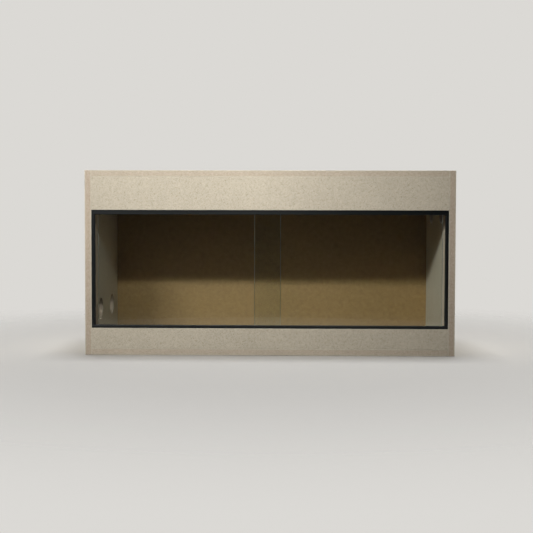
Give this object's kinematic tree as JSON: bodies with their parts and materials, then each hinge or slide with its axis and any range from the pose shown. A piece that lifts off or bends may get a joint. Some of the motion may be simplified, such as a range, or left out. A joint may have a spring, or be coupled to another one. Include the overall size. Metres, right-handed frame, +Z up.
{
  "type": "reptile enclosure",
  "caption": "Wide raw-board reptile enclosure with sliding glass doors in black channel tracks, a deep front fascia and round vent holes low in one side and high in the other.",
  "frame": {"origin": "middle of the underside, on the surface that the enclosure stands on", "axes": "+X to the right seen from the front, +Y from the front to the back, +Z up"},
  "size_m": [1, 0.4, 0.5],
  "materials": {
    "chipboard": "raw sanded chipboard",
    "hardboard": "smooth brown hardboard",
    "black_plastic": "satin black extrusion",
    "clear_glass": "clear float glass with ground edges",
    "zinc_steel": "zinc-plated"
  },
  "bodies": {
    "carcass": {"top_panel": "chipboard", "bottom_panel": "chipboard", "left_side_panel": "chipboard", "right_side_panel": "chipboard", "back_panel": "hardboard", "upper_fascia": "chipboard", "lower_fascia": "chipboard", "upper_track": "black_plastic", "lower_track": "black_plastic", "left_edge_strip": "black_plastic", "right_edge_strip": "black_plastic", "carcass_screws": "zinc_steel", "back_panel_screws": "zinc_steel"},
    "left_door": {"left_glass_pane": "clear_glass"},
    "right_door": {"right_glass_pane": "clear_glass"}
  },
  "joints": [
    {"name": "left_door_slide", "type": "slide", "parent": "carcass", "child": "left_door", "axis": [1, 0, 0], "range_m": [-0.0135, 0.4495]},
    {"name": "right_door_slide", "type": "slide", "parent": "carcass", "child": "right_door", "axis": [1, 0, 0], "range_m": [-0.4385, 0.0135]}
  ]
}
